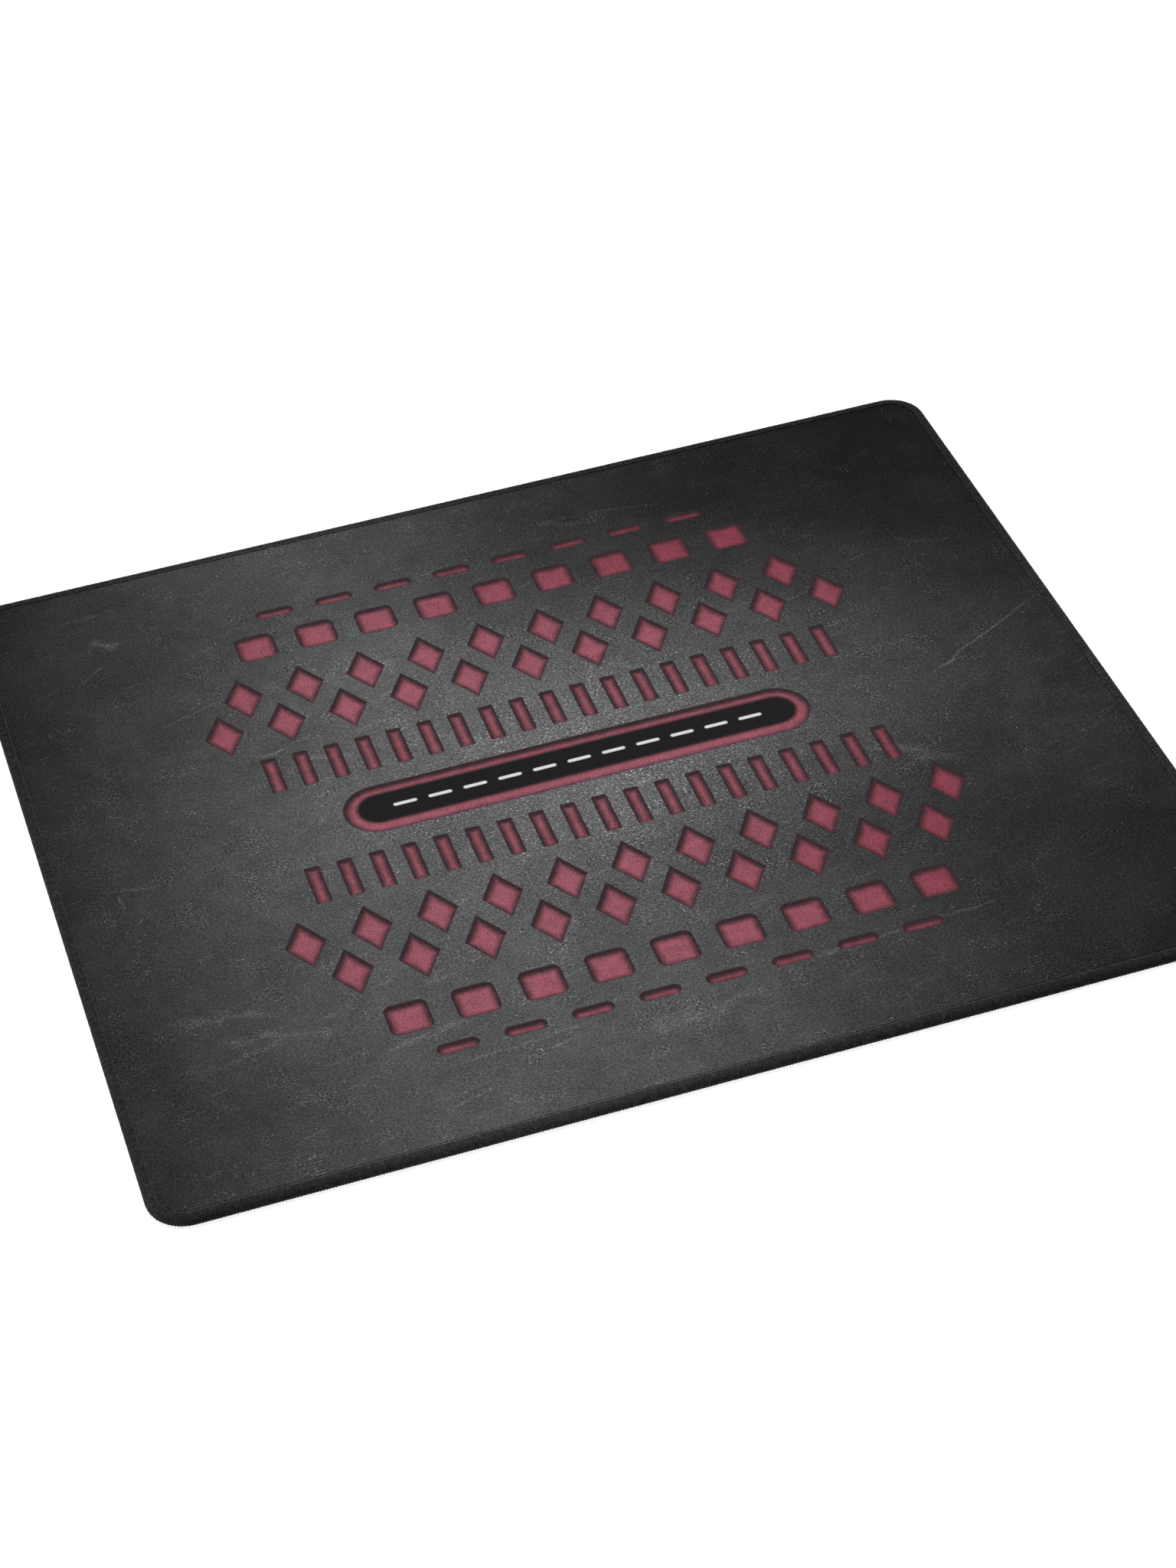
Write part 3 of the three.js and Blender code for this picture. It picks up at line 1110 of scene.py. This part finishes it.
def rubber_base():
    """The foamed rubber sheet, with rows of small flat studs under it."""
    mould = bmesh.new()
    tray, crown = carry_round(mould, STITCHES // 2, rubber_section())
    bmesh.ops.triangle_fill(mould, edges=crown, use_beauty=True)
    reach = TRAY_MARGIN + 2 * STUD_HEIGHT
    across = int(2 * (HALF_LENGTH - reach) / STUD_PITCH)
    deep = int(2 * (HALF_DEPTH - reach) / STUD_PITCH)
    grid = bmesh.ops.create_grid(mould, x_segments=across, y_segments=deep, size=1.0)["verts"]
    for vertex in grid:
        x = vertex.co.x * across * STUD_PITCH / 2
        y = vertex.co.y * deep * STUD_PITCH / 2
        vertex.co = (x, y, STUD_HEIGHT)
    bound = CORNER_RADIUS - reach
    outside = [vertex for vertex in grid if corner_reach(vertex.co) > bound]
    bmesh.ops.delete(mould, geom=outside, context="VERTS")
    kept = set(vertex for vertex in grid if vertex.is_valid)
    rim = [edge for edge in mould.edges if edge.is_boundary and edge.verts[0] in kept]
    studs = [face for face in mould.faces if face.verts[0] in kept]
    bmesh.ops.triangle_fill(mould, edges=tray + rim, use_beauty=True)
    bmesh.ops.reverse_faces(mould, faces=studs)
    for thickness, depth in ((STUD_GAP / 2, 0.0), (STUD_HEIGHT / 2, STUD_HEIGHT)):
        bmesh.ops.inset_individual(
            mould, faces=studs, thickness=thickness, depth=depth, use_even_offset=True
        )
    mesh = finished("studded_rubber", mould)
    made = piece("studded_rubber", mesh, rubber_finish, "foam_rubber", "rubber_base")


def corner_reach(spot):
    """How far a place lies beyond the centre of its corner's rounding, both ways at once."""
    return math.hypot(max(abs(spot.x) - CENTRE_X, 0), max(abs(spot.y) - CENTRE_Y, 0))


# The studio's light, where 1 shows a colour as it is written, the lamp's spread and tilt in
# degrees, the floor's grey, its glow and its reach in metres, and plain white
SUN_SHARE = 0.55
SURROUND_SHARE = 0.46
LAMP_SPREAD = 40
LAMP_TILT = (-24, -5, 0)
FLOOR_WHITE = 0.5
FLOOR_GLOW = 0.8
FLOOR_REACH = 30.0
WHITE = (1, 1, 1, 1)


def studio():
    """A white floor that keeps the pad's shadow, an even pale surround and one broad high lamp.

    The lamp shines down from above the pad's far side."""
    mould = bmesh.new()
    bmesh.ops.create_grid(mould, x_segments=1, y_segments=1, size=FLOOR_REACH)
    mesh = bpy.data.meshes.new("floor")
    mould.to_mesh(mesh)
    mould.free()
    floor = bpy.data.objects.new("floor", mesh)
    bpy.context.collection.objects.link(floor)
    mesh.materials.append(floor_white())

    sun = bpy.data.lights.new("high_lamp", "SUN")
    sun.energy = SUN_SHARE * math.pi
    sun.angle = math.radians(LAMP_SPREAD)
    lamp = bpy.data.objects.new("high_lamp", sun)
    lamp.rotation_euler = [math.radians(angle) for angle in LAMP_TILT]
    bpy.context.collection.objects.link(lamp)

    world = bpy.data.worlds.new("surround")
    world.use_nodes = True
    bpy.context.scene.world = world
    nodes, links = world.node_tree.nodes, world.node_tree.links
    back = nodes["Background"]
    back.inputs["Color"].default_value = WHITE
    seen = seen_rays(nodes, links)
    level = nodes.new("ShaderNodeMapRange")
    level.inputs["To Min"].default_value = SURROUND_SHARE
    level.inputs["To Max"].default_value = 1.0
    links.new(seen, level.inputs["Value"])
    links.new(level.outputs["Result"], back.inputs["Strength"])


def seen_rays(nodes, links):
    """One for rays that show the backdrop: straight ones, reflections and rays through glass."""
    path = nodes.new("ShaderNodeLightPath")
    total = path.outputs["Is Camera Ray"]
    for name in ("Is Glossy Ray", "Is Transmission Ray"):
        either = nodes.new("ShaderNodeMath")
        either.operation = "MAXIMUM"
        links.new(total, either.inputs[0])
        links.new(path.outputs[name], either.inputs[1])
        total = either.outputs[0]
    return total


def floor_white():
    """Pale matt floor. Seen straight on it glows, so that it shows white outside the shadow."""
    material = bpy.data.materials.new("floor_white")
    material.use_nodes = True
    nodes, links = material.node_tree.nodes, material.node_tree.links
    shader = nodes["Principled BSDF"]
    shader.inputs["Base Color"].default_value = (FLOOR_WHITE, FLOOR_WHITE, FLOOR_WHITE, 1)
    shader.inputs["Roughness"].default_value = 1.0
    shader.inputs["Specular IOR Level"].default_value = 0.0
    shader.inputs["Emission Color"].default_value = WHITE
    glow = nodes.new("ShaderNodeMath")
    glow.operation = "MULTIPLY"
    glow.inputs[1].default_value = FLOOR_GLOW
    links.new(seen_rays(nodes, links), glow.inputs[0])
    links.new(glow.outputs[0], shader.inputs["Emission Strength"])
    return material


camera()
studio()

cloth_finish = printed_cloth_finish()
rubber_finish = foam_rubber_finish()
looper_yarn = yarn(
    "looper_yarn",
    level=31,
    near_painted_light=-2.5,
    light_share=0.5,
    side_painted_light=14.0,
    spread=13,
    strands=2 * STITCHES,
    first_share=1 / 12,
    roughness=0.8,
)
needle_yarn = yarn(
    "needle_yarn",
    level=70,
    near_painted_light=20.0,
    light_share=0.75,
    side_painted_light=-7.0,
    spread=16,
    strands=STITCHES,
    first_share=0.0,
    roughness=0.7,
)

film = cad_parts["adhesive_film"]
film.data.materials.clear()
film.data.materials.append(melt_film_finish())

rubber_base()
top_cloth()
looper_thread("lower_looper_loops", "lower_looper_thread", upwards=False, seed=3)
looper_thread("upper_looper_loops", "upper_looper_thread", upwards=True, seed=4)
needle_thread()

bpy.context.scene.view_settings.view_transform = "Standard"
